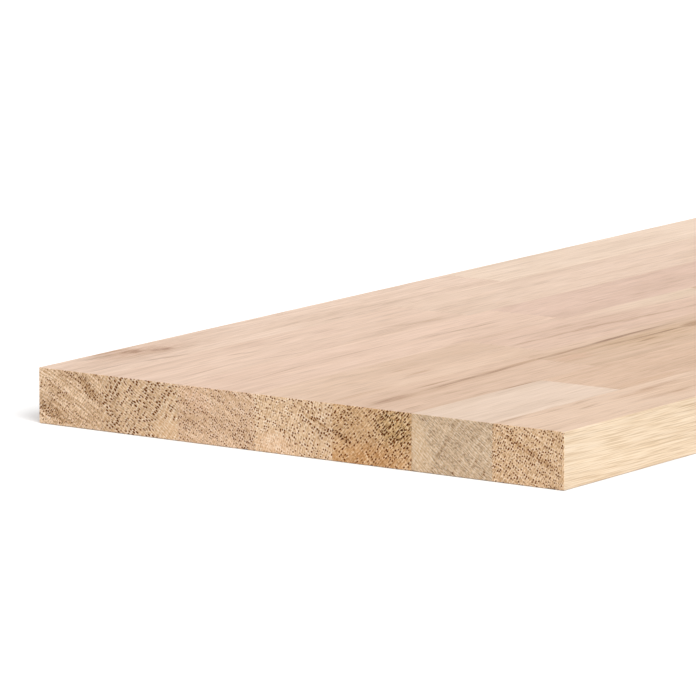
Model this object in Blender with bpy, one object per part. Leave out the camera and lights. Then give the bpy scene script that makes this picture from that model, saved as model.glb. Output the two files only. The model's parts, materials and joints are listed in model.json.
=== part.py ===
"""Glued laminated panel of solid oak.

Staves stand side by side and are glued along their edges. Each stave is a row of short
pieces, finger jointed end to end. The fingers are cut through the thickness, so a joint
shows as one straight line across its stave on the top and the underside, and as a zigzag
on the long edges of the panel.

The panel lies flat. X runs across the staves, Y along the grain and Z up, and the origin
is at the middle of the underside. The front end is the one that faces -Y.
"""
import itertools
import math

import bpy

PANEL_LENGTH = 1.000
PANEL_WIDTH = 0.300
PANEL_THICKNESS = 0.027

FIRST_STAVE_WIDTH = 0.03765  # what was left of it when the panel was ripped to width
STAVE_WIDTH = 0.0443
NARROWEST_STAVE = 0.012  # a last strip thinner than this stays on the stave before it
GLUE_GAP = 0.0003

FINGER_LENGTH = 0.010
FINGER_PITCH = 0.0038
FINGER_TIP = 0.0006  # width of the flat at the end of a finger
SHORTEST_END_PIECE = 0.060  # a joint nearer than this to the back end is left out

# Colours of the oak that the staves were mixed from, as linear red, green and blue.
SHADES = {
    "pale_oak": (0.815, 0.638, 0.503),
    "light_oak": (0.807, 0.610, 0.479),
    "pink_oak": (0.776, 0.565, 0.451),
    "tan_oak": (0.753, 0.539, 0.402),
    "brown_oak": (0.723, 0.515, 0.366),
}
PLANED_ROUGHNESS = 0.65

# The pieces in each stave, from the front end. A longer panel starts again at the first
# piece, and a wider one at the first stave.
PIECE_LENGTHS = (
    (0.345, 0.300, 0.355),
    (0.245, 0.290, 0.165, 0.300),
    (0.264, 0.200, 0.296, 0.240),
    (0.178, 0.205, 0.290, 0.327),
    (0.156, 0.340, 0.240, 0.264),
    (0.108, 0.310, 0.230, 0.352),
    (0.275, 0.260, 0.230, 0.235),
)
PIECE_SHADES = (
    ("light_oak", "pale_oak", "tan_oak"),
    ("light_oak", "pale_oak", "tan_oak", "pink_oak"),
    ("light_oak", "pink_oak", "pale_oak", "tan_oak"),
    ("tan_oak", "pink_oak", "brown_oak", "light_oak"),
    ("brown_oak", "tan_oak", "pale_oak", "light_oak"),
    ("pale_oak", "tan_oak", "light_oak", "pink_oak"),
    ("light_oak", "brown_oak", "light_oak", "pale_oak"),
)


def clear_scene():
    for item in list(bpy.data.objects):
        bpy.data.objects.remove(item)


def planed_oak(shade):
    """Bare oak as it leaves the planer, matt and without oil or varnish."""
    material = bpy.data.materials.new(shade)
    material.use_nodes = True
    surface = material.node_tree.nodes["Principled BSDF"]
    surface.inputs["Base Color"].default_value = (*SHADES[shade], 1.0)
    surface.inputs["Roughness"].default_value = PLANED_ROUGHNESS
    surface.inputs["Metallic"].default_value = 0.0
    return material


def stave_strips():
    """Left side and width of each stave, from the left. The last one takes what is left."""
    left = -PANEL_WIDTH / 2
    right = PANEL_WIDTH / 2
    width = FIRST_STAVE_WIDTH
    strips = []
    while right - left - width >= GLUE_GAP + NARROWEST_STAVE:
        strips.append((left, width))
        left += width + GLUE_GAP
        width = STAVE_WIDTH
    strips.append((left, right - left))
    return strips


def sawn_end(along):
    """Points up a square end, from the underside to the top, as (along, up)."""
    return [(along, 0.0), (along, PANEL_THICKNESS)]


def fingered_end(joint, in_front):
    """Points up one side of a finger joint, from the underside to the top.

    The joint shows on the faces at joint. In each pitch of the height the piece in front
    of it has half a finger below and half a finger above, and the piece behind it has one
    finger in the slot between them, with room for the glue all round.
    """
    slot = FINGER_TIP + 2 * GLUE_GAP
    if in_front:
        outer, outer_flat = joint - GLUE_GAP / 2, FINGER_TIP
        inner, inner_flat = outer - FINGER_LENGTH, slot
    else:
        outer, outer_flat = joint + GLUE_GAP / 2, slot
        inner, inner_flat = outer - FINGER_LENGTH, FINGER_TIP
    count = max(1, round(PANEL_THICKNESS / FINGER_PITCH))
    pitch = PANEL_THICKNESS / count
    points = [(outer, 0.0)]
    for finger in range(count):
        bottom = finger * pitch
        middle = bottom + pitch / 2
        top = bottom + pitch
        points += [
            (outer, bottom + outer_flat / 2),
            (inner, middle - inner_flat / 2),
            (inner, middle + inner_flat / 2),
            (outer, top - outer_flat / 2),
        ]
    points.append((outer, PANEL_THICKNESS))
    return points


def stave_pieces(lengths):
    """Side outline of each piece of one stave, from the front end to the back."""
    back_end = PANEL_LENGTH / 2
    joint = -PANEL_LENGTH / 2
    front_points = sawn_end(joint)
    outlines = []
    for length in itertools.cycle(lengths):
        joint += length
        if back_end - joint < SHORTEST_END_PIECE:
            outlines.append(sawn_end(back_end) + front_points[::-1])
            return outlines
        outlines.append(fingered_end(joint, True) + front_points[::-1])
        front_points = fingered_end(joint, False)


def make_piece(name, outline, left, width, material, collection):
    """One piece of oak: its side outline, carried across the width of its stave."""
    curve = bpy.data.curves.new(name, "CURVE")
    curve.dimensions = "2D"
    curve.fill_mode = "BOTH"
    curve.extrude = width / 2
    edge = curve.splines.new("POLY")
    edge.points.add(len(outline) - 1)
    for point, (along, up) in zip(edge.points, outline):
        point.co = (along, up, 0.0, 1.0)
    edge.use_cyclic_u = True
    curve.materials.append(material)
    piece = bpy.data.objects.new(name, curve)
    piece.rotation_euler = (math.radians(90), 0.0, math.radians(90))
    piece.location = (left + width / 2, 0.0, 0.0)
    collection.objects.link(piece)


def make_panel():
    collection = bpy.data.collections.new("glued_laminated_panel")
    bpy.context.scene.collection.children.link(collection)
    materials = {shade: planed_oak(shade) for shade in SHADES}
    pattern = itertools.cycle(zip(PIECE_LENGTHS, PIECE_SHADES))
    for stave, (left, width) in enumerate(stave_strips(), start=1):
        lengths, shades = next(pattern)
        outlines = stave_pieces(lengths)
        for piece, (outline, shade) in enumerate(zip(outlines, itertools.cycle(shades)), start=1):
            name = f"stave_{stave}_piece_{piece}"
            make_piece(name, outline, left, width, materials[shade], collection)


clear_scene()
make_panel()
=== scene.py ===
import json
import math
from collections import namedtuple

import bmesh
import bpy
import numpy as np
from mathutils import Euler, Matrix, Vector


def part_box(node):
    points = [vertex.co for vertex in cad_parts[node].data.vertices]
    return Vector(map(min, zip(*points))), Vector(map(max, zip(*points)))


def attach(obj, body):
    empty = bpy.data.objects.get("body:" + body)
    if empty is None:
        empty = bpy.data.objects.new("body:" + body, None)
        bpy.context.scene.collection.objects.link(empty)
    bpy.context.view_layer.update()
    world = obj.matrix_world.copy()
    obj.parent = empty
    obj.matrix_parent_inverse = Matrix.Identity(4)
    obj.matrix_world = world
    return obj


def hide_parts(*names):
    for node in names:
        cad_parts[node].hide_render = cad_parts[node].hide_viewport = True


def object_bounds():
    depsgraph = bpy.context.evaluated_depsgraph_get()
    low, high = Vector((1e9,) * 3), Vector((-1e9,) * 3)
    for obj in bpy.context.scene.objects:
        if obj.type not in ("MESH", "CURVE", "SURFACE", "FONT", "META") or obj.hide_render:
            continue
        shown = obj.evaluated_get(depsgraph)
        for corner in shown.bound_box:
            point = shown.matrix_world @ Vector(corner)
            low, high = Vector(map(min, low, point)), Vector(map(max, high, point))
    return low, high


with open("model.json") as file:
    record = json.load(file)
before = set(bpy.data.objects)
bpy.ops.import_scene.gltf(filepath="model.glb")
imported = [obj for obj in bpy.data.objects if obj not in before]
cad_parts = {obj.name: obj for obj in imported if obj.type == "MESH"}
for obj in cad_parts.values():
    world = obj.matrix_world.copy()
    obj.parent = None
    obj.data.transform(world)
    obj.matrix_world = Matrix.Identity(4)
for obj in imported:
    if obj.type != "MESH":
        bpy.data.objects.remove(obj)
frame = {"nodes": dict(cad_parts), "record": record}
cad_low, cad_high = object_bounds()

# A glued laminated oak panel, seven staves across, lying flat. Each stave is a row of
# finger-jointed pieces. X runs across the staves, Y along the grain and Z up.

MM = 0.001

# Shape. Each glued side is carried into the gap that the solids keep for the glue, so
# that a seam closes to a hairline, and the outer arrises are eased as by a light sanding.
GLUE_FILL = 0.13 * MM
ARRIS = 0.25 * MM
ARRIS_STEPS = (0.0, 0.6, 1.0)  # grid lines over an arris, as shares of its radius
SAW_STEP = 1.0 * MM  # grid step along a sawn arris, fine enough for its chips
CHIP = 0.45 * MM  # most that a chip adds to the arris
CHIP_POWERS = (4.0, 9.0)  # how rare a deep chip is, on the underside and on the top
STATION = 25 * MM  # grid step along the grain
JOINT_MARGIN = 1 * MM  # from the root of a finger joint to the first station
ON_SIDE = 0.01 * MM  # a piece this near to a side of the panel reaches it
MERGE = 0.001 * MM  # points this near to each other are one
CORNER_DIGITS = 6  # decimals of a metre that tell the corners of a finger joint apart
HEIGHT_DIGITS = 7  # decimals of a metre that tell grid lines apart
TINY = 1e-9  # keeps a distance of nothing from being divided by

# Camera, worked out from the panel's corners and long edges in the photograph. AIM and
# DISTANCE are in metres, and LENS and SENSOR in millimetres.
AIM = Vector((0.0169, -0.4806, 0.0499))
AZIMUTH = math.radians(35.05)
ELEVATION = math.radians(9.634)
DISTANCE = 3.0571
FURTHEST_SEEN = 100.0
LENS = 339.7
SENSOR = 36.0

# Light. Each sun is given by its name, by where it stands, as (x, y, z), by what it adds
# to a surface that faces it, and by how wide it is, in degrees.
SUNS = (
    ("key_sun", (0.55, -0.25, 0.50), 2.45, 40),
    ("back_sun", (-0.55, 0.50, 0.40), 0.35, 40),
    ("front_fill", (0.0, -1.0, 0.12), 0.60, 60),
)
SKY = 0.50
WHITE = (1.0, 1.0, 1.0, 1.0)
FLOOR_GREY = (0.6, 0.6, 0.6, 1.0)  # the floor as the light sees it
FLOOR_GLOW = 0.12  # brings the floor to white where the camera sees it
FLOOR_SIZE = 60.0
FLOOR_DROP = 0.2 * MM

# Size of the lumps of each pattern in the wood, in millimetres round the pith, along it
# and out from it.
BEND_GRAIN = (50, 800, 50)
WAVE_GRAIN = (9, 140, 9)
SWAY_GRAIN = (12, 50, 12)
CLOUD_GRAIN = (20, 150, 14)
SEASON_GRAIN = (80, 400, 9)
DRIFT_GRAIN = (8, 600, 8)
ROW_GRAIN = (16, 300, 1.2)
COLUMN_GRAIN = (1.4, 300, 14)
VESSEL_GRAIN = (1.25, 30, 1.25)
RAY_GRAIN = (1.0, 55, 2.4)
FLAME_GRAIN = (0.9, 30, 0.6)
STIPPLE_GRAIN = (0.55, 18, 1.5)
FIBRE_GRAIN = (0.36, 20, 0.36)
LINE_GRAIN = (9, 90, 0.7)

# How far the patterns wander: the log's bend and its finer wave in millimetres, the
# seasons in years, and the marks of a piece in metres.
BEND = 12
WAVE = 1.2
SEASON_DRIFT = 2.4
SWAY = 1.6 * MM

# What each pattern, and the painted light on the right edge, multiplies the colour of the wood by, where
# it is strongest.
DARK_CLOUD = (0.90, 0.88, 0.86)
SPRING_BAND = (0.84, 0.79, 0.72)
LIGHT_RAY = (1.20, 1.22, 1.24)
LIGHT_COLUMN = (1.11, 1.23, 1.40)
LIGHT_ROW = (1.06, 1.12, 1.21)
PORE_RIM = (1.13, 1.26, 1.44)
DARK_FLAME = (0.24, 0.16, 0.09)
OPEN_PORE = (0.22, 0.08, 0.0)
DARK_STIPPLE = (0.40, 0.26, 0.08)
LIGHT_STIPPLE = (1.15, 1.26, 1.44)
RING_LINE = (0.76, 0.69, 0.60)
# Painted light: the right edge, the side that the key sun lights, is made lighter and yellower than the
# left edge and the faces.
PAINTED_LIGHT_RIGHT_EDGE = (1.14, 1.25, 1.22)

# How strongly some patterns show on the long faces, whatever they do on the sawn end.
FACE_BANDS = 0.20
FACE_FLAMES = 0.11
FACE_STIPPLE = 0.16
FACE_LINES = 0.35
FACE_VESSELS = 0.2
EDGE_STIPPLE = 0.20  # more stipple on the long edges

# How strongly patterns show beside one another, as shares.
POOR_WOOD = 0.78  # pores and flames where the wood is poorest in them
SUMMER_PORES = 0.65  # pores outside the spring wood
SPRING_PORES = 0.7  # what the spring wood adds to them
FLAME_GAP = 0.06  # flames in the gaps of their columns
RIM_SHARE = 0.4  # the light rim of a pore
DARK_SHARE = 0.7  # the dark stipple, beside the light
PORE_SCATTER = 0.68  # how far pores stand off their lattice, from 0 to 1
VESSEL_SCATTER = 0.8

# Surface of bare wood.
SPECULAR = 0.15
PLANED_ROUGHNESS = 0.60
PORE_ROUGHNESS = 0.80
PORE_DEPTH = 0.1 * MM
RELIEF = 0.35
FIBRE_RELIEF = 0.4  # height of the fibres as a share of a pore's depth


# Shape of a piece


def end_corners(name, back):
    """Heights and places along the grain of one end of a CAD piece, from the underside up."""
    corners = np.array([corner.co[:] for corner in frame["nodes"][name].data.vertices])
    middle = (corners[:, 1].min() + corners[:, 1].max()) / 2
    end = corners[(corners[:, 1] > middle) == back]
    pairs = np.unique(end[:, [2, 1]].round(CORNER_DIGITS), axis=0)
    return pairs[:, 0], pairs[:, 1]


def grown_end(heights, places, outward):
    """The end moved out square to its surface by GLUE_FILL.

    Each corner goes along the sum of the unit normals of the two lines that meet there,
    divided by one plus their dot product. The first and last corner lie on the faces of
    the panel and move along the grain only.
    """
    up, along = np.diff(heights), np.diff(places)
    normals = np.stack([-along, up], 1) * outward / np.hypot(up, along)[:, None]
    before, after = normals[:-1], normals[1:]
    mitres = (before + after) / (1 + (before * after).sum(1, keepdims=True))
    straight = np.array([[0.0, outward]])
    moves = np.concatenate([straight, mitres, straight]) * GLUE_FILL
    return heights + moves[:, 0], places + moves[:, 1]


def quads(rows, columns, start, flip):
    """Corner numbers of the faces of a grid of points, as rows of four."""
    number = start + np.arange(rows * columns).reshape(rows, columns)
    ring = [number[:-1, :-1], number[1:, :-1], number[1:, 1:], number[:-1, 1:]]
    if flip:
        ring.reverse()
    return np.stack(ring, -1).reshape(-1, 4)


def lines_between(low, high, low_is_arris, high_is_arris, step):
    """Grid lines from low to high: close together over an arris, then about a step apart."""
    near_low = [low + ARRIS * share for share in ARRIS_STEPS] if low_is_arris else [low]
    near_high = [high - ARRIS * share for share in ARRIS_STEPS] if high_is_arris else [high]
    count = max(2, round((near_high[-1] - near_low[-1]) / step) + 1)
    middle = np.linspace(near_low[-1], near_high[-1], count)
    return np.concatenate([near_low[:-1], middle, near_high[-2::-1]])


def eased(points, low, high, outer_low, outer_high, chips):
    """The points drawn back onto a box whose outer edges are rounded.

    The inner box stands in from each outer side by the radius. A point further than the
    radius from the inner box comes back to that distance, along its own line to the box.
    The radius grows by a random chip at each millimetre of a sawn arris.
    """
    across = (points[:, 0] - cad_low.x) / SAW_STEP
    sawn = np.minimum(points[:, 1] - low[1], high[1] - points[:, 1]) < ARRIS + CHIP
    below = points[:, 2] < (low[2] + high[2]) / 2
    place = np.arange(chips.shape[1])
    under, over = (np.interp(across, place, depths) for depths in chips)
    chip = np.where(below, under, over)
    radius = (ARRIS + np.where(sawn, chip, 0.0))[:, None]
    inner = np.clip(points, low + radius * outer_low, high - radius * outer_high)
    away = points - inner
    distance = np.linalg.norm(away, axis=1, keepdims=True)
    return inner + away * np.minimum(1, radius / np.maximum(distance, TINY))


def piece_grid(name):
    """The two ends of a piece and the grid lines on it: across, up and along the grain."""
    low, high = (np.array(corner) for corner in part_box(name))
    outer_low, outer_high = outer_sides(low, high)
    sawn_front, sawn_back = outer_low[1], outer_high[1]
    front, back = end_corners(name, False), end_corners(name, True)
    if not sawn_front:
        front = grown_end(*front, -1)
    if not sawn_back:
        back = grown_end(*back, 1)

    x_low = low[0] - (0 if outer_low[0] else GLUE_FILL)
    x_high = high[0] + (0 if outer_high[0] else GLUE_FILL)
    across_step = SAW_STEP if sawn_front or sawn_back else x_high - x_low
    across = lines_between(x_low, x_high, outer_low[0], outer_high[0], across_step)
    heights = lines_between(low[2], high[2], True, True, high[2] - low[2])
    heights = np.unique(np.concatenate([heights, front[0], back[0]]).round(HEIGHT_DIGITS))
    inner_front = front[1].max() + (0 if sawn_front else JOINT_MARGIN)
    inner_back = back[1].min() - (0 if sawn_back else JOINT_MARGIN)
    stations = lines_between(inner_front, inner_back, sawn_front, sawn_back, STATION)
    return front, back, across, heights, stations


def outer_sides(low, high):
    """For each axis, whether the box's low side and its high side are sides of the panel."""
    return np.abs(low - np.array(cad_low)) < ON_SIDE, np.abs(high - np.array(cad_high)) < ON_SIDE


def stave_piece(name, chips):
    """One piece of oak: its section carried along the grain from end to end.

    The section is a rectangle, and each station of the path is that rectangle with its
    place along the grain given as a function of height, which is a zigzag at a finger
    joint and constant elsewhere. Each end is a grid over the section, on that function.
    """
    low, high = (np.array(corner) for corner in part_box(name))
    outer_low, outer_high = outer_sides(low, high)
    front, back, across, heights, stations = piece_grid(name)

    left, right = np.full(len(heights), across[0]), np.full(len(heights), across[-1])
    under, over = np.full(len(across), low[2]), np.full(len(across), high[2])
    section_x = np.concatenate([across, right, across[::-1], left])
    section_z = np.concatenate([under, heights, over, heights[::-1]])
    rows = [np.full(len(section_z), place) for place in stations]
    if not outer_low[1]:
        rows.insert(0, np.interp(section_z, *front))
    if not outer_high[1]:
        rows.append(np.interp(section_z, *back))
    along = np.stack(rows)
    sides = np.stack(np.broadcast_arrays(section_x, along, section_z), -1)

    points = [sides.reshape(-1, 3)]
    faces = [quads(*along.shape, 0, False)]
    start = sides.size // 3
    grid_z, grid_x = np.meshgrid(heights, across, indexing="ij")
    for end, flip in ((front, True), (back, False)):
        end_grid = np.stack([grid_x, np.interp(grid_z, *end), grid_z], -1)
        points.append(end_grid.reshape(-1, 3))
        faces.append(quads(*grid_z.shape, start, flip))
        start += grid_z.size
    points = eased(np.concatenate(points), low, high, outer_low, outer_high, chips)
    return closed_mesh("planed_" + name, points, np.concatenate(faces))


def closed_mesh(name, points, faces):
    """A mesh object of those points and faces, with the points that coincide made one."""
    mesh = bpy.data.meshes.new(name)
    mesh.from_pydata(points.tolist(), [], faces.tolist())
    shape = bmesh.new()
    shape.from_mesh(mesh)
    bmesh.ops.remove_doubles(shape, verts=shape.verts, dist=MERGE)
    shape.to_mesh(mesh)
    shape.free()
    piece = bpy.data.objects.new(name, mesh)
    bpy.context.scene.collection.objects.link(piece)
    return piece


# Nodes of a material


def add_node(tree, kind, inputs=(), **settings):
    """One shader node. inputs pairs sockets with values or with other nodes' outputs."""
    made = tree.nodes.new("ShaderNode" + kind)
    for name, value in settings.items():
        setattr(made, name, value)
    connect(tree, made, dict(inputs))
    return made


def connect(tree, made, inputs):
    """Each input of a node given its value, or linked to the output given for it."""
    for socket, value in inputs.items():
        if isinstance(value, bpy.types.NodeSocket):
            tree.links.new(value, made.inputs[socket])
        else:
            made.inputs[socket].default_value = value


def maths(tree, operation, *values):
    return add_node(tree, "Math", enumerate(values), operation=operation).outputs[0]


def product(tree, first, *others):
    for other in others:
        first = maths(tree, "MULTIPLY", first, other)
    return first


def vectors(tree, operation, *values):
    return add_node(tree, "VectorMath", enumerate(values), operation=operation).outputs[0]


def vector_of(tree, *values):
    return add_node(tree, "CombineXYZ", enumerate(values)).outputs[0]


def parts(tree, vector):
    """The three parts of a vector."""
    return add_node(tree, "SeparateXYZ", {0: vector}).outputs


def ramp(tree, value, start, end, low=0.0, high=1.0):
    """low where value is at start and high where it is at end, with a smooth rise between."""
    inputs = {"Value": value, "From Min": start, "From Max": end, "To Min": low, "To Max": high}
    return add_node(tree, "MapRange", inputs, interpolation_type="SMOOTHSTEP").outputs[0]


def mixed(tree, share, first, second):
    """A number that goes from the first to the second as share goes from 0 to 1."""
    return add_node(tree, "Mix", {0: share, 2: first, 3: second}).outputs[0]


def noise(tree, point, grain, detail=1.0, colour=False):
    """Noise from 0 to 1 whose lumps measure grain millimetres across, along and out."""
    scaled = vectors(tree, "MULTIPLY", point, [1 / size for size in grain])
    made = add_node(tree, "TexNoise", {"Vector": scaled, "Scale": 1.0, "Detail": detail})
    return made.outputs[1 if colour else 0]


def wander(tree, point, grain):
    """Noise that points any way, each of its three parts from -0.5 to 0.5."""
    return vectors(tree, "SUBTRACT", noise(tree, point, grain, colour=True), (0.5, 0.5, 0.5))


def uneven(tree, point, grain, amount):
    """1 on average, and more or less by up to half of amount, in lumps of that grain."""
    lumps = ramp(tree, noise(tree, point, grain, 0.0), 0.35, 0.65)
    return maths(tree, "MULTIPLY_ADD", maths(tree, "SUBTRACT", lumps, 0.5), amount, 1.0)


def cells(tree, point, grain, start, end):
    """Spots at random, one for each cell of grain millimetres, each with its own strength."""
    scaled = vectors(tree, "MULTIPLY", point, [1 / size for size in grain])
    inputs = {"Vector": scaled, "Scale": 1.0, "Randomness": VESSEL_SCATTER}
    made = add_node(tree, "TexVoronoi", inputs)
    spot = ramp(tree, made.outputs["Distance"], start, end, 1.0, 0.0)
    strength = parts(tree, made.outputs["Color"])[0]
    return maths(tree, "MULTIPLY", spot, ramp(tree, strength, 0.1, 0.9))


def dots(tree, lattice):
    """A dot near each point of a flat lattice and the light ring round it, most of them faint."""
    inputs = {"Vector": lattice, "Scale": 1.0, "Randomness": PORE_SCATTER}
    made = add_node(tree, "TexVoronoi", inputs, voronoi_dimensions="2D")
    distance = made.outputs["Distance"]
    strength = ramp(tree, parts(tree, made.outputs["Color"])[0], 0.0, 1.0)
    dot = ramp(tree, distance, 0.14, 0.40, 1.0, 0.0)
    ring = product(tree, ramp(tree, distance, 0.34, 0.46), ramp(tree, distance, 0.50, 0.68, 1.0, 0.0))
    return product(tree, dot, strength, strength), product(tree, ring, strength, strength)


def tinted(tree, colour, tint, share):
    """The colour multiplied by a tint, by that share."""
    inputs = {0: share, 6: colour, 7: (*tint, 1.0)}
    return add_node(tree, "Mix", inputs, data_type="RGBA", blend_type="MULTIPLY").outputs[2]


def screen(red, green, blue):
    """A colour as it looks on a screen, from 0 to 255, as the linear colour of a surface."""
    shares = np.array([red, green, blue]) / 255
    return (*(((shares + 0.055) / 1.055) ** 2.4), 1.0)


# Oak

# The numbers that the wood takes from a log, under the names that they have there.
LOG_NUMBERS = (
    "ring", "gap", "row", "dash", "fine", "bands", "pores", "rows", "columns", "rays",
    "flames", "stipple", "lines",
)
Growth = namedtuple("Growth", "arc radius wood dashed thinned cloud spring rich")


def oak_sockets(tree):
    """What the wood is given, and what it gives."""
    sockets = [("Point", "INPUT", "Vector")]
    sockets += [(name, "INPUT", "Color") for name in ("Face colour", "End colour")]
    sockets += [(name, "INPUT", "Float") for name in ("End", "Edge", "Strength", *LOG_NUMBERS)]
    sockets += [("Colour", "OUTPUT", "Color"), ("Hollow", "OUTPUT", "Float"), ("Fibre", "OUTPUT", "Float")]
    for name, way, kind in sockets:
        tree.interface.new_socket(name, in_out=way, socket_type="NodeSocket" + kind)
    return tree.nodes.new("NodeGroupInput").outputs, tree.nodes.new("NodeGroupOutput").inputs


def growth_place(tree, point):
    """How far a point of the log is round the pith, along it and out from it.

    The point is first bent a little by broad noise, as a trunk is, and waved by finer
    noise. The way round is the angle about the pith multiplied by the radius.
    """
    bent = vectors(tree, "MULTIPLY_ADD", wander(tree, point, BEND_GRAIN), (BEND, 0, BEND), point)
    waved = vectors(tree, "MULTIPLY_ADD", wander(tree, point, WAVE_GRAIN), (WAVE, 0, WAVE), bent)
    x, y, z = parts(tree, waved)
    radius = maths(tree, "SQRT", maths(tree, "MULTIPLY_ADD", x, x, maths(tree, "MULTIPLY", z, z)))
    return maths(tree, "MULTIPLY", maths(tree, "ARCTAN2", x, z), radius), y, radius


def spring_wood(tree, wood, radius, ring, cloud):
    """The open wood of each spring, early in its year and stronger in some places.

    The year is the radius divided by the width of a ring, with a broad drift added, and
    the season is what is left of it over a whole number.
    """
    years = maths(tree, "DIVIDE", radius, ring)
    drifted = maths(tree, "MULTIPLY_ADD", noise(tree, wood, SEASON_GRAIN), SEASON_DRIFT, years)
    season = maths(tree, "FRACT", drifted)
    begun, over = ramp(tree, season, 0.0, 0.15), ramp(tree, season, 0.25, 0.7, 1.0, 0.0)
    return product(tree, begun, over, ramp(tree, cloud, 0.3, 0.65, 0.3, 1.0))


def pore_lattice(tree, wood, arc, radius, gap, row):
    """The places of the pores, counted in columns round the pith and in rows out from it."""
    drift = parts(tree, wander(tree, wood, DRIFT_GRAIN))
    across = maths(tree, "ADD", maths(tree, "DIVIDE", arc, gap), drift[0])
    out = maths(tree, "ADD", maths(tree, "DIVIDE", radius, row), drift[2])
    return across, out


def light_between(tree, count):
    """Strong between the pores, which stand in the first part of each unit of count."""
    wave = maths(tree, "COSINE", maths(tree, "MULTIPLY_ADD", count, 2 * math.pi, 0.5 * math.pi))
    return ramp(tree, wave, 0.0, 1.0)


def growth(tree, given):
    """What grew at a point of the log: its place there, its cloud and its spring wood.

    wood is the place itself, dashed is drawn out from the pith by the length of a flame,
    and thinned is also drawn in round it by the thickness of a ray. rich is how rich in
    pores and flames the wood is there.
    """
    arc, along, radius = growth_place(tree, given["Point"])
    outward = maths(tree, "DIVIDE", radius, given["dash"])
    wood = vector_of(tree, arc, along, radius)
    dashed = vector_of(tree, arc, along, outward)
    thinned = vector_of(tree, maths(tree, "DIVIDE", arc, given["fine"]), along, outward)
    cloud = noise(tree, wood, CLOUD_GRAIN, 2.0)
    spring = spring_wood(tree, wood, radius, given["ring"], cloud)
    rich = ramp(tree, maths(tree, "MULTIPLY_ADD", spring, 0.4, cloud), 0.3, 0.8, POOR_WOOD, 1.0)
    rich = maths(tree, "MULTIPLY", rich, given["Strength"])
    return Growth(arc, radius, wood, dashed, thinned, cloud, spring, rich)


def year_layers(tree, given, grown):
    """Tints of the clouds, of the bands of spring wood and of the lines along the rings."""
    banded = ramp(tree, given["End"], 0.0, 1.0, FACE_BANDS, given["bands"])
    lined = ramp(tree, given["End"], 0.0, 1.0, FACE_LINES, 1.0)
    line = ramp(tree, noise(tree, grown.wood, LINE_GRAIN), 0.44, 0.60)
    return [
        (DARK_CLOUD, ramp(tree, grown.cloud, 0.35, 0.75)),
        (SPRING_BAND, product(tree, grown.spring, banded)),
        (RING_LINE, product(tree, line, given["lines"], lined)),
    ]


def flame_layers(tree, given, grown):
    """Tints of the light rays, and of the dark flames in columns between them."""
    shown = ramp(tree, given["End"], 0.0, 1.0, FACE_FLAMES, given["flames"])
    ray = noise(tree, grown.thinned, RAY_GRAIN)
    standing = ramp(tree, noise(tree, grown.dashed, FLAME_GRAIN, 0.0), 0.44, 0.54, FLAME_GAP, 1.0)
    return [
        (LIGHT_RAY, product(tree, ramp(tree, ray, 0.51, 0.60), shown)),
        (DARK_FLAME, product(tree, ramp(tree, ray, 0.50, 0.44), standing, grown.rich, shown)),
    ]


def pore_layers(tree, given, grown):
    """Tints of the pores and of the light wood between them, and how hollow the pores are.

    A sawn end cuts the tubes of the pores across, so they are dots near the points of a
    lattice, and a long face cuts them along, so they are fine scattered grooves.
    """
    end = given["End"]
    column, row = pore_lattice(tree, grown.wood, grown.arc, grown.radius, given["gap"], given["row"])
    pores, rims = dots(tree, vector_of(tree, column, row))
    rows = uneven(tree, grown.wood, ROW_GRAIN, given["rows"])
    columns = uneven(tree, grown.wood, COLUMN_GRAIN, given["columns"])
    early = maths(tree, "MULTIPLY_ADD", grown.spring, SPRING_PORES, SUMMER_PORES)
    cut_across = product(tree, pores, rows, columns, early, given["pores"])
    grooves = cells(tree, grown.dashed, VESSEL_GRAIN, 0.24, 0.34)
    cut_along = maths(tree, "MULTIPLY", grooves, FACE_VESSELS)
    opened = maths(tree, "MULTIPLY", mixed(tree, end, cut_along, cut_across), grown.rich)
    hollow = maths(tree, "MINIMUM", opened, 1.0)
    layers = [
        (LIGHT_COLUMN, product(tree, light_between(tree, column), end, given["rays"])),
        (LIGHT_ROW, product(tree, light_between(tree, row), end, given["rows"])),
        (PORE_RIM, product(tree, rims, end, given["pores"], RIM_SHARE)),
        (OPEN_PORE, hollow),
    ]
    return layers, hollow


def fibre_layers(tree, given, grown):
    """Tints of the fine stipple that fibres give, and the fibres, from 0 to 1."""
    end = given["End"]
    stipple = noise(tree, grown.wood, STIPPLE_GRAIN, 0.5)
    fibre = mixed(tree, end, noise(tree, grown.wood, FIBRE_GRAIN, 0.5), stipple)
    shown = ramp(tree, end, 0.0, 1.0, FACE_STIPPLE, given["stipple"])
    shown = maths(tree, "MULTIPLY_ADD", given["Edge"], EDGE_STIPPLE, shown)
    layers = [
        (DARK_STIPPLE, product(tree, ramp(tree, fibre, 0.50, 0.36), shown, DARK_SHARE)),
        (LIGHT_STIPPLE, product(tree, ramp(tree, fibre, 0.50, 0.62), shown)),
    ]
    return layers, fibre


def sawn_oak():
    """Node group: the colour of oak at a point of its log, whose pith is the Y axis.

    Points are in millimetres. All that grew in the wood is drawn out along one of the
    log's own directions: the year's rings are shells of equal radius, pores are tubes
    along the grain, rays are thin sheets along the grain that run outward, and the dark
    flames of small pores stand in columns between them. End and Edge are 1 on the sawn
    ends and on the long edges, and Strength is how rich in pores and flames a place is.
    Beside colour, the group gives how hollow the surface is, and its fine fibre.
    """
    tree = bpy.data.node_groups.new("sawn_oak", "ShaderNodeTree")
    given, result = oak_sockets(tree)
    grown = growth(tree, given)
    pores, hollow = pore_layers(tree, given, grown)
    fibres, fibre = fibre_layers(tree, given, grown)
    layers = year_layers(tree, given, grown) + flame_layers(tree, given, grown) + pores + fibres

    inputs = {0: given["End"], 6: given["Face colour"], 7: given["End colour"]}
    colour = add_node(tree, "Mix", inputs, data_type="RGBA").outputs[2]
    for tint, share in layers:
        colour = tinted(tree, colour, tint, share)
    tree.links.new(colour, result["Colour"])
    tree.links.new(hollow, result["Hollow"])
    tree.links.new(fibre, result["Fibre"])
    return tree


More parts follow.
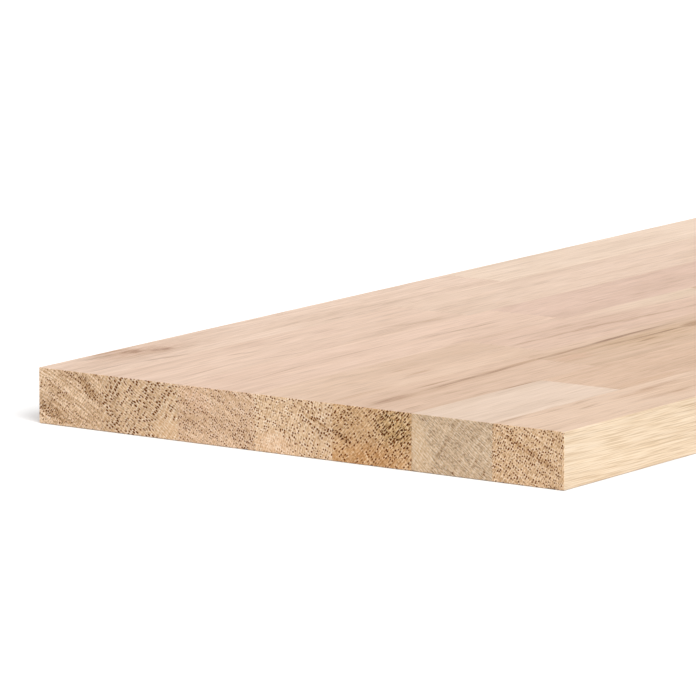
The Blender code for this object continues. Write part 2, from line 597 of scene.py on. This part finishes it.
def mark(at, size, tint=None, turn=0, slope=0, pores=0, end_only=False):
    """A soft patch in the wood that is darker or lighter, or richer or poorer in pores.

    at is its middle, in millimetres from the left edge, from the sawn end and from the
    underside, and size is its half sizes along the same. It is turned on the sawn end,
    and slopes on the top away from the grain, both in degrees. tint is what multiplies
    the colour in its middle, and end_only keeps that to the sawn end. pores is added to
    how rich in pores and flames the wood is there.
    """
    return {
        "at": at, "size": size, "tint": tint, "turn": turn, "slope": slope, "pores": pores,
        "end_only": end_only,
    }


def mark_mask(tree, point, made):
    """1 in the middle of a mark and 0 outside it."""
    inputs = {
        "Vector": point,
        "Location": Vector(made["at"]) * MM + cad_low,
        "Rotation": Euler((0, math.radians(-made["turn"]), math.radians(made["slope"]))),
        "Scale": Vector(made["size"]) * MM,
    }
    local = add_node(tree, "Mapping", inputs, vector_type="TEXTURE").outputs[0]
    distance = add_node(tree, "VectorMath", {0: local}, operation="LENGTH").outputs["Value"]
    return ramp(tree, distance, 0.25, 1.0, 1.0, 0.0)


def facing(tree, part):
    """1 where a part of the surface's normal is near 1, and 0 well below it."""
    return ramp(tree, part, 0.4, 0.8)


def place_in_log(tree, place, centre, log):
    """The point of the log, in millimetres, that lies at a place of the panel."""
    turn = Euler([math.radians(angle) for angle in (log["dip"], log["tilt"], log["stray"])])
    shift = Vector((0, log["start"], log["pith"])) - turn.to_matrix() @ (centre / MM)
    inputs = {"Vector": place, "Scale": (1 / MM,) * 3, "Rotation": turn, "Location": shift}
    return add_node(tree, "Mapping", inputs).outputs[0]


def bare_oak(name, wood, centre, log):
    """Planed oak with no oil or varnish, cut from one log."""
    material = bpy.data.materials.new(name)
    material.use_nodes = True
    tree = material.node_tree
    surface = tree.nodes["Principled BSDF"].inputs
    surface["Specular IOR Level"].default_value = SPECULAR

    coordinates = add_node(tree, "TexCoord").outputs
    normal = parts(tree, coordinates["Normal"])
    end = facing(tree, maths(tree, "ABSOLUTE", normal[1]))
    point = place_in_log(tree, coordinates["Object"], centre, log)
    sway = wander(tree, point, SWAY_GRAIN)
    swayed = vectors(tree, "MULTIPLY_ADD", sway, (SWAY, 0, SWAY), coordinates["Object"])
    marks = [(made, mark_mask(tree, swayed, made)) for made in log["marks"]]
    strength = 1.0
    for made, mask in marks:
        strength = maths(tree, "MULTIPLY_ADD", mask, made["pores"], strength)

    inputs = {
        "Point": point,
        "End": end,
        "Edge": facing(tree, maths(tree, "ABSOLUTE", normal[0])),
        "Face colour": screen(*log["face"]),
        "End colour": screen(*log["end"]),
        "Strength": maths(tree, "MAXIMUM", strength, 0.0),
    }
    inputs.update({number: log[number] for number in LOG_NUMBERS})
    grown = tree.nodes.new("ShaderNodeGroup")
    grown.node_tree = wood
    connect(tree, grown, inputs)
    hollow, fibre = grown.outputs["Hollow"], grown.outputs["Fibre"]

    # Painted light: only the right edge is tinted lighter and yellower, as the key sun shows it.
    colour = tinted(tree, grown.outputs["Colour"], PAINTED_LIGHT_RIGHT_EDGE, facing(tree, normal[0]))
    broken = ramp(tree, fibre, 0.62, 0.40, 0.5, 1.0)
    for made, mask in marks:
        if made["tint"]:
            share = product(tree, mask, broken)
            if made["end_only"]:
                share = product(tree, share, end)
            colour = tinted(tree, colour, made["tint"], share)
    height = maths(tree, "SUBTRACT", maths(tree, "MULTIPLY", fibre, FIBRE_RELIEF), hollow)
    bump = add_node(tree, "Bump", {"Strength": RELIEF, "Distance": PORE_DEPTH, "Height": height})
    roughness = ramp(tree, hollow, 0.0, 0.6, PLANED_ROUGHNESS, PORE_ROUGHNESS)
    tree.links.new(colour, surface["Base Color"])
    tree.links.new(roughness, surface["Roughness"])
    tree.links.new(bump.outputs[0], surface["Normal"])
    return material


# What is known of each piece's log, and the marks that the photograph shows on it. tilt
# is how far its rings are turned on the sawn end, and stray and dip are how far its
# grain turns from the panel's length, in degrees. In millimetres, pith is the distance to
# the middle of the log, ring the width of a year, gap the distance between pores round
# the log and row the distance between them out from the pith. dash is how far a flame
# runs outward, and fine how thick a ray is. face and end are the colours of the long faces
# and of the sawn end, as a screen shows them. The others are how strongly the bands of
# spring wood, the pores, their rows and columns, the light rays between them, the flames,
# the stipple and the ring lines show. What is left out is drawn at random.
KNOWN = {
    "stave_1_piece_1": dict(
        tilt=-33, pith=120, ring=7.0, dash=1.6, fine=0.5, gap=1.1, row=1.6,
        face=(229, 201, 180), end=(238, 203, 166),
        rows=1.6, rays=0.3, pores=1.2, bands=0.4, flames=0.3, stipple=0.5, lines=1.0,
        marks=(
            mark((9, 0, 6), (15, 40, 4), (0.74, 0.66, 0.56), turn=-30, pores=2.6, end_only=True),
            mark((31, 0, 19), (15, 40, 4), (0.72, 0.64, 0.54), turn=-45, pores=2.6, end_only=True),
            mark((16, 60, 27), (22, 75, 5), (0.92, 0.89, 0.87)),
            mark((28, 20, 27), (1.6, 26, 3), (0.72, 0.66, 0.62)),
            mark((33, 55, 27), (2.4, 22, 3), (0.70, 0.62, 0.58), slope=-10),
            mark((12, 62, 27), (14, 38, 4), (0.84, 0.76, 0.70), slope=-6),
            mark((17, 75, 27), (4.6, 11, 3), (0.60, 0.50, 0.42), slope=-14),
            mark((10, 61, 27), (6, 11, 3), (0.62, 0.52, 0.42), slope=-22),
            mark((2.5, 54, 27), (3.0, 20, 3), (0.68, 0.59, 0.50), slope=-4),
            mark((6, 36, 27), (5.5, 20, 3), (0.76, 0.73, 0.69), slope=-8),
        ),
    ),
    "stave_2_piece_1": dict(
        tilt=56, stray=-1.5, pith=150, ring=5.5, dash=1.2, fine=0.6, gap=1.33, row=2.2,
        face=(225, 195, 173), end=(221, 182, 141),
        rows=1.8, rays=1.1, pores=6.6, bands=0.4, flames=0.25, stipple=0.45, lines=0.2,
        marks=(
            mark((77, 0, 5), (14, 40, 11), (1.04, 1.03, 1.02), pores=-1.1, end_only=True),
            mark((52, 0, 14), (15, 40, 16), pores=0.5),
            mark((72, 36, 27), (1.1, 40, 2), (0.76, 0.69, 0.64), slope=4),
            mark((76, 92, 27), (1.2, 24, 2), (0.76, 0.69, 0.64), slope=-10),
            mark((56, 86, 27), (1.2, 14, 2), (0.78, 0.71, 0.66), slope=-16),
            mark((45, 107, 27), (9, 26, 4), (0.90, 0.87, 0.85)),
            mark((76, 130, 27), (7, 26, 4), (0.93, 0.91, 0.90)),
            mark((53, 164, 27), (8, 16, 4), (0.91, 0.88, 0.87)),
            mark((74, 210, 27), (3.2, 38, 3), (0.86, 0.82, 0.78), slope=-11),
        ),
    ),
    "stave_2_piece_2": dict(
        face=(225, 197, 175),
        marks=(
            mark((61, 258, 27), (7, 15, 3), (0.90, 0.86, 0.84)),
            mark((66, 412, 27), (1.2, 66, 2), (0.86, 0.80, 0.76)),
        ),
    ),
    "stave_3_piece_1": dict(
        tilt=-30, pith=200, ring=6.0, dash=1.1, fine=0.5, gap=1.1, row=1.4,
        face=(226, 195, 173), end=(231, 192, 154),
        rows=1.6, rays=0.7, pores=3.0, bands=0.3, flames=0.15, stipple=0.5, lines=0.5,
        marks=(
            mark((94, 0, 20), (12, 40, 7), (1.03, 1.00, 1.02), turn=-30, pores=-0.5, end_only=True),
            mark((113, 0, 15), (17, 40, 2.0), (1.08, 1.08, 1.07), turn=-36, pores=-0.8, end_only=True),
            mark((103, 44, 27), (1.1, 46, 2), (0.76, 0.69, 0.64), slope=4),
            mark((100, 125, 27), (1.3, 46, 2), (0.76, 0.69, 0.64)),
            mark((104, 205, 27), (1.3, 56, 2), (0.72, 0.65, 0.60), slope=-3),
        ),
    ),
    "stave_3_piece_2": dict(face=(218, 186, 166)),
    "stave_4_piece_1": dict(
        tilt=-18, pith=160, ring=8.0, dash=1.0, fine=0.5, gap=1.25, row=1.35,
        face=(221, 190, 165), end=(233, 195, 154),
        rows=1.4, columns=0.9, rays=0.7, pores=3.4, bands=0.2, flames=0.15, stipple=0.5, lines=0.3,
        marks=(
            mark((138, 0, 4), (19, 40, 9), (1.04, 1.01, 1.03), turn=-8, pores=-0.9, end_only=True),
            mark((152, 0, 21), (26, 40, 9), pores=0.6, end_only=True),
            mark((161, 0, 18.3), (18, 40, 1.0), (0.76, 0.67, 0.56), turn=-25, pores=2.6, end_only=True),
            mark((168.5, 28, 27), (3.0, 36, 3), (0.86, 0.80, 0.74)),
            mark((157, 93, 27), (2.6, 18, 3), (0.80, 0.73, 0.67), slope=4),
            mark((147, 92, 27), (1.6, 16, 3), (0.84, 0.78, 0.73)),
        ),
    ),
    "stave_4_piece_2": dict(
        face=(219, 187, 165),
        marks=(
            mark((152, 238, 27), (2.4, 62, 3), (0.74, 0.67, 0.61), slope=-2),
            mark((151, 192, 27), (1.5, 16, 2), (0.76, 0.69, 0.63)),
            mark((133, 375, 27), (14, 130, 3), (1.15, 1.28, 1.28)),
            mark((156.5, 300, 27), (2.4, 64, 3), (0.82, 0.77, 0.72), slope=-3.5),
        ),
    ),
    "stave_5_piece_1": dict(
        tilt=-43, pith=130, ring=6.0, dash=1.3, fine=0.65, gap=1.3, row=1.9,
        face=(216, 184, 159), end=(217, 173, 126),
        rows=1.2, columns=1.6, rays=1.4, pores=4.6, bands=0.3, flames=0.3, stipple=0.5, lines=0.3,
        marks=(
            mark((188, 0, 1), (44, 40, 14), (0.88, 0.75, 0.60), turn=4, pores=-0.65, end_only=True),
            mark((187, 0, 17), (13, 40, 9), pores=-0.45, end_only=True),
            mark((207, 0, 19), (15, 40, 13), (0.95, 0.98, 0.88), pores=2.8, end_only=True),
            mark((177, 0, 12), (9, 40, 1.6), (0.52, 0.40, 0.28), turn=-25, pores=3.0, end_only=True),
            mark((187, 79, 27), (7, 100, 3), (0.93, 0.90, 0.86), slope=2),
            mark((188, 25, 27), (5.2, 26, 3), (0.72, 0.65, 0.59), slope=2),
            mark((185.6, 98, 27), (2.4, 62, 3), (0.56, 0.47, 0.39), slope=2),
            mark((183, 140, 27), (3.4, 50, 3), (0.78, 0.71, 0.63), slope=1.5),
            mark((180.6, 73, 27), (1.4, 26, 3), (0.70, 0.62, 0.54), slope=1),
            mark((215.5, 90, 27), (1.2, 26, 2), (0.66, 0.57, 0.50)),
        ),
    ),
    "stave_5_piece_2": dict(
        face=(211, 179, 152),
        marks=(
            mark((188, 240, 27), (12, 75, 4), (0.86, 0.82, 0.73)),
            mark((173, 245, 27), (9, 130, 3), (1.07, 1.09, 1.16)),
            mark((179.5, 238, 27), (2.3, 62, 3), (0.42, 0.32, 0.24), slope=1.5),
            mark((182, 180, 27), (2.4, 48, 3), (0.66, 0.57, 0.49), slope=1.5),
            mark((189, 255, 27), (1.6, 42, 3), (0.56, 0.48, 0.38)),
            mark((195, 236, 27), (1.6, 18, 3), (0.64, 0.57, 0.47), slope=6),
            mark((188, 288, 27), (6, 16, 3), (0.62, 0.53, 0.43), slope=8),
            mark((200, 245, 27), (12, 60, 5), (0.95, 0.93, 0.88)),
            mark((193, 170, 27), (10, 22, 4), (0.99, 0.93, 0.91)),
        ),
    ),
    "stave_6_piece_1": dict(
        tilt=58, pith=140, ring=9.0, dash=2.2, fine=0.4, gap=1.15, row=3.0,
        face=(226, 201, 180), end=(215, 185, 151),
        rows=0.6, columns=0.8, rays=0.9, pores=0.5, bands=0.5, flames=0.5, stipple=0.35, lines=0.2,
        marks=(
            mark((219, 0, 13), (9, 40, 24), (1.08, 1.05, 1.00), turn=15, pores=-0.9, end_only=True),
            mark((235, 60, 27), (40, 120, 2), pores=-0.5),
        ),
    ),
    "stave_6_piece_2": dict(
        face=(217, 184, 157),
        marks=(mark((256, 142, 27), (4, 40, 3), (0.93, 0.90, 0.86)),),
    ),
    "stave_7_piece_1": dict(
        tilt=-25, stray=0.2, dip=0.3, pith=110, ring=6.0, dash=1.0, fine=0.5, gap=1.2, row=1.4,
        face=(225, 195, 170), end=(230, 190, 147),
        rows=1.4, rays=0.9, pores=3.6, bands=0.3, flames=0.2, stipple=0.55, lines=0.5,
        marks=(
            mark((281, 0, 16), (28, 40, 2.2), (0.80, 0.71, 0.60), turn=-24, pores=1.0, end_only=True),
            mark((266, 0, 23), (12, 40, 5), pores=0.8, end_only=True),
            mark((266, 0, 6), (7, 40, 7), pores=0.6, end_only=True),
            mark((293, 0, 0), (4, 5, 1.2), (0.35, 0.27, 0.2), end_only=True),
            mark((273, 63, 27), (1.8, 14, 3), (0.77, 0.71, 0.66), slope=6),
            mark((263.6, 71, 27), (1.6, 16, 3), (0.76, 0.71, 0.67), slope=4),
            mark((265.5, 43, 27), (1.4, 12, 3), (0.80, 0.75, 0.70)),
            mark((272, 104, 27), (4, 32, 3), (0.86, 0.80, 0.75), slope=1),
            mark((283.6, 111, 27), (2.8, 38, 3), (0.72, 0.64, 0.58)),
            mark((269, 128, 27), (3, 28, 3), (0.74, 0.66, 0.60), slope=2),
            mark((263, 14, 27), (1.6, 16, 2), (0.70, 0.66, 0.62)),
            mark((300, 70, 14), (2, 160, 24), pores=-0.6),
            mark((279, 140, 27), (18, 60, 4), (0.92, 0.88, 0.83)),
        ),
    ),
}

# Colours of the long faces by the piece's material slot, and of the sawn end beside them.
SLOT_FACES = {
    "pale_oak": (230, 205, 183),
    "light_oak": (229, 201, 179),
    "pink_oak": (224, 193, 173),
    "tan_oak": (221, 188, 162),
    "brown_oak": (216, 184, 156),
}
END_SHARE = (1.03, 0.99, 0.89)
SHADE_RANGE = 8  # between the palest and the darkest piece of one slot
STREAKS = 4  # on each piece that the photograph doesn't show
SEED = 11


def streak(name, random):
    """A long dark streak somewhere on the top or the underside of a piece."""
    low, high = (np.array(corner) / MM - np.array(cad_low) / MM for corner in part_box(name))
    at = low + (high - low) * random.random(3)
    at[2] = random.choice([low[2], high[2]])
    size = (0.8 + random.random(), 30 + 60 * random.random(), 2.5)
    tint = 1 - np.array([0.20, 0.26, 0.30]) * random.random()
    return mark(at, size, tuple(tint), slope=3 * random.random() - 1.5)


def log_of(name, slot, random):
    """The log that a piece was sawn from: what is known of it, and the rest at random."""
    pale, dip, stray, start, tilt, pith, ring, pores, dash, flames = random.random(10)
    face = np.array(SLOT_FACES[slot]) + SHADE_RANGE * (pale - 0.5)
    log = {
        "dip": 3.0 * (dip - 0.5),
        "stray": 3.0 * (stray - 0.5),
        "start": 20000 * start,
        "tilt": 140 * (tilt - 0.5),
        "pith": 70 + 130 * pith,
        "ring": 4 + 4 * ring,
        "dash": 1.2 + 1.2 * dash,
        "fine": 0.65,
        "gap": 1.25,
        "row": 1.8,
        "rows": 1.0,
        "columns": 0.6,
        "rays": 0.4,
        "face": face,
        "end": face * END_SHARE,
        "pores": 2.5 + 2.5 * pores,
        "bands": 0.4,
        "flames": 0.2 + 0.4 * flames,
        "stipple": 0.65,
        "lines": 0.3,
        "marks": [streak(name, random) for number in range(STREAKS)],
    }
    log.update(KNOWN.get(name, {}))
    return log


# Studio


def make_floor():
    """A pale floor that is white to the camera where nothing shades it."""
    half = FLOOR_SIZE / 2
    outline = ((-half, -half), (half, -half), (half, half), (-half, half))
    mesh = bpy.data.meshes.new("floor")
    mesh.from_pydata([(x, y, -FLOOR_DROP) for x, y in outline], [], [(0, 1, 2, 3)])
    floor = bpy.data.objects.new("floor", mesh)
    bpy.context.scene.collection.objects.link(floor)
    material = bpy.data.materials.new("pale_floor")
    material.use_nodes = True
    tree = material.node_tree
    tree.nodes.clear()
    white = add_node(tree, "BsdfDiffuse", {"Color": WHITE})
    glow = add_node(tree, "Emission", {"Color": WHITE, "Strength": FLOOR_GLOW})
    bright = add_node(tree, "AddShader", {0: white.outputs[0], 1: glow.outputs[0]})
    pale = add_node(tree, "BsdfDiffuse", {"Color": FLOOR_GREY})
    seen = {0: camera_sees(tree), 1: pale.outputs[0], 2: bright.outputs[0]}
    add_node(tree, "OutputMaterial", {"Surface": add_node(tree, "MixShader", seen).outputs[0]})
    mesh.materials.append(material)


def camera_sees(tree):
    """1 for a ray that the camera sees, straight or through gloss or glass, and 0 for light."""
    path = add_node(tree, "LightPath")
    straight, glossy = path.outputs["Is Camera Ray"], path.outputs["Is Glossy Ray"]
    seen = maths(tree, "MAXIMUM", straight, glossy)
    return maths(tree, "MAXIMUM", seen, path.outputs["Is Transmission Ray"])


def light_scene():
    """A plain sky, white to the camera, and soft suns."""
    world = bpy.data.worlds.new("studio")
    bpy.context.scene.world = world
    world.use_nodes = True
    tree = world.node_tree
    sky = {"Value": camera_sees(tree), "To Min": SKY, "To Max": 1.0}
    backdrop = tree.nodes["Background"]
    connect(tree, backdrop, {"Color": WHITE, "Strength": add_node(tree, "MapRange", sky).outputs[0]})
    for name, stand, strength, spread in SUNS:
        lamp = bpy.data.lights.new(name, "SUN")
        lamp.energy = strength
        lamp.angle = math.radians(spread)
        sun = bpy.data.objects.new(name, lamp)
        sun.rotation_euler = Vector(stand).to_track_quat("Z", "Y").to_euler()
        bpy.context.scene.collection.objects.link(sun)


def place_camera():
    """The camera at its distance back from AIM, looking at it."""
    lens = bpy.data.cameras.new("camera")
    lens.lens = LENS
    lens.sensor_width = SENSOR
    lens.clip_end = FURTHEST_SEEN
    camera = bpy.data.objects.new("camera", lens)
    back = Vector((
        math.sin(AZIMUTH) * math.cos(ELEVATION),
        -math.cos(AZIMUTH) * math.cos(ELEVATION),
        math.sin(ELEVATION),
    ))
    camera.location = AIM + back * DISTANCE
    camera.rotation_euler = back.to_track_quat("Z", "Y").to_euler()
    bpy.context.scene.collection.objects.link(camera)
    bpy.context.scene.camera = camera


def make_panel():
    """The finished pieces, each with the oak of its own log, in place of the CAD's."""
    wood = sawn_oak()
    random = np.random.default_rng(SEED)
    slots = {part["node"]: part["material_slot"] for part in frame["record"]["subparts"]}
    chip_places = math.ceil((cad_high.x - cad_low.x) / SAW_STEP) + 1
    powers = np.array(CHIP_POWERS)[:, None]
    for name in sorted(frame["nodes"]):
        chips = CHIP * random.random((2, chip_places)) ** powers
        piece = stave_piece(name, chips)
        log = log_of(name, slots[name], random)
        low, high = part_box(name)
        oak = bare_oak(name.replace("stave", slots[name]), wood, (low + high) / 2, log)
        piece.data.materials.append(oak)
        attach(piece, "root")
        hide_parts(name)


place_camera()
light_scene()
make_floor()
make_panel()
bpy.context.scene.view_settings.view_transform = "Standard"
